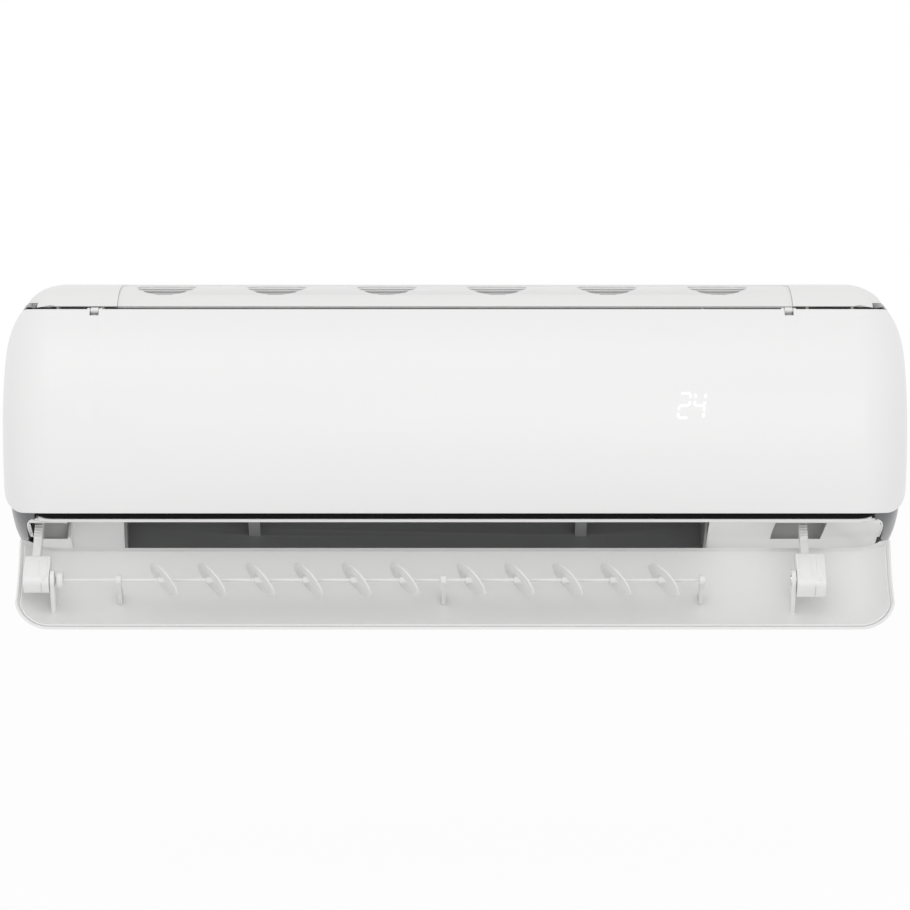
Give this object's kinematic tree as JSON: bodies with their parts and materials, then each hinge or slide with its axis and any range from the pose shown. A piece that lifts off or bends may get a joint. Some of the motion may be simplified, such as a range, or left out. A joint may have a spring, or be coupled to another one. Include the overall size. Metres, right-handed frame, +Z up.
{
  "type": "mini split indoor unit",
  "caption": "Wall-mounted air conditioner indoor unit: curved front panel, intake grille, and an outlet flap carried on sliding rack arms with slanted oval vanes.",
  "frame": {"origin": "centre of the wall plate's back face, on the wall", "axes": "+X to the viewer's right along the unit, +Y into the wall, +Z up"},
  "size_m": [0.848, 0.196, 0.3204],
  "materials": {
    "white_gloss": "gloss",
    "white_satin": "satin",
    "silver_trim": "satin silver",
    "dark_strip": "gloss",
    "dark_plastic": "matte",
    "fan_plastic": "matte",
    "black_rubber": "matte",
    "galvanised_steel": "satin",
    "motor_steel": "satin",
    "shaft_steel": "polished",
    "fin_aluminium": "satin",
    "copper": "satin copper",
    "brass": "satin",
    "filter_grey": "matte",
    "box_black": "matte",
    "board_green": "satin"
  },
  "bodies": {
    "casing": {"wall_plate": "galvanised_steel", "rear_casing": "white_satin", "front_frame": "white_satin", "top_grille": "white_satin", "left_side_trim": "silver_trim", "right_side_trim": "silver_trim", "lower_strip": "dark_strip", "outlet_frame": "white_satin", "air_duct": "dark_plastic", "left_end_panel": "white_satin", "right_end_panel": "white_satin", "left_arm_guide": "dark_plastic", "right_arm_guide": "dark_plastic", "left_arm_motor": "motor_steel", "right_arm_motor": "motor_steel", "bearing_holder": "dark_plastic", "fan_bearing": "black_rubber", "fan_motor": "motor_steel", "motor_bracket": "dark_plastic", "coil_front": "fin_aluminium", "coil_top": "fin_aluminium", "coil_rear": "fin_aluminium", "left_coil_plate": "fin_aluminium", "right_coil_plate": "fin_aluminium", "drain_tray": "dark_plastic", "gas_pipe": "copper", "liquid_pipe": "copper", "drain_hose": "black_rubber", "gas_nut": "brass", "liquid_nut": "brass", "electric_box": "box_black", "box_cover": "box_black", "circuit_board": "board_green", "terminal_block": "white_satin", "display_board": "board_green"},
    "panel": {"front_panel": "white_gloss"},
    "arms": {"left_arm": "white_satin", "right_arm": "white_satin", "left_drive_housing": "white_satin", "right_drive_housing": "white_satin"},
    "flap": {"flap_panel": "white_gloss", "flap_liner": "white_satin", "left_vane_bearing": "white_satin", "centre_vane_bearing": "white_satin", "right_vane_bearing": "white_satin", "left_tilt_bush": "white_satin", "right_tilt_shaft": "shaft_steel"},
    "vanes": {"left_vane_rod": "white_satin", "right_vane_rod": "white_satin"},
    "left_pinion": {"left_pinion": "white_satin"},
    "right_pinion": {"right_pinion": "white_satin"},
    "fan": {"fan_rotor": "fan_plastic", "fan_stub_shaft": "shaft_steel", "motor_shaft": "shaft_steel"},
    "left_filter": {"left_filter": "filter_grey"},
    "right_filter": {"right_filter": "filter_grey"},
    "manual_button": {"manual_button": "white_satin"}
  },
  "joints": [
    {"name": "panel_hinge", "type": "hinge", "parent": "casing", "child": "panel", "pos_m": [0, -0.1338, 0.1108], "axis": [-1, 0, 0], "range_deg": [0, 55]},
    {"name": "arm_slide", "type": "slide", "parent": "casing", "child": "arms", "axis": [0, 0.728, 0.6856], "range_m": [0, 0.08008]},
    {"name": "flap_tilt", "type": "hinge", "parent": "arms", "child": "flap", "pos_m": [0, -0.18, -0.1385], "axis": [1, 0, 0], "range_deg": [-77.72, 0]},
    {"name": "vane_swing", "type": "hinge", "parent": "flap", "child": "vanes", "pos_m": [0, -0.18, -0.1385], "axis": [1, 0, 0], "range_deg": [0, 180]},
    {"name": "left_pinion_spin", "type": "hinge", "parent": "casing", "child": "left_pinion", "pos_m": [-0.3895, -0.09423, -0.03631], "axis": [1, 0, 0], "range_deg": [0, 480]},
    {"name": "right_pinion_spin", "type": "hinge", "parent": "casing", "child": "right_pinion", "pos_m": [0.3257, -0.09423, -0.03631], "axis": [1, 0, 0], "range_deg": [0, 480]},
    {"name": "fan_spin", "type": "hinge", "parent": "casing", "child": "fan", "pos_m": [0, -0.08, -0.027], "axis": [1, 0, 0], "continuous": true},
    {"name": "left_filter_lift", "type": "slide", "parent": "casing", "child": "left_filter", "axis": [0, 0, 1], "range_m": [0, 0.008]},
    {"name": "right_filter_lift", "type": "slide", "parent": "casing", "child": "right_filter", "axis": [0, 0, 1], "range_m": [0, 0.008]},
    {"name": "button_press", "type": "slide", "parent": "casing", "child": "manual_button", "axis": [0, 1, 0], "range_m": [0, 0.0012], "stiffness_N_per_m": 400, "springref_m": -0.001}
  ],
  "couplings": [
    {"joint": "flap_tilt", "follows": "arm_slide", "rad_per_m": -16.934},
    {"joint": "left_pinion_spin", "follows": "arm_slide", "rad_per_m": 104.17},
    {"joint": "right_pinion_spin", "follows": "arm_slide", "rad_per_m": 104.17}
  ]
}
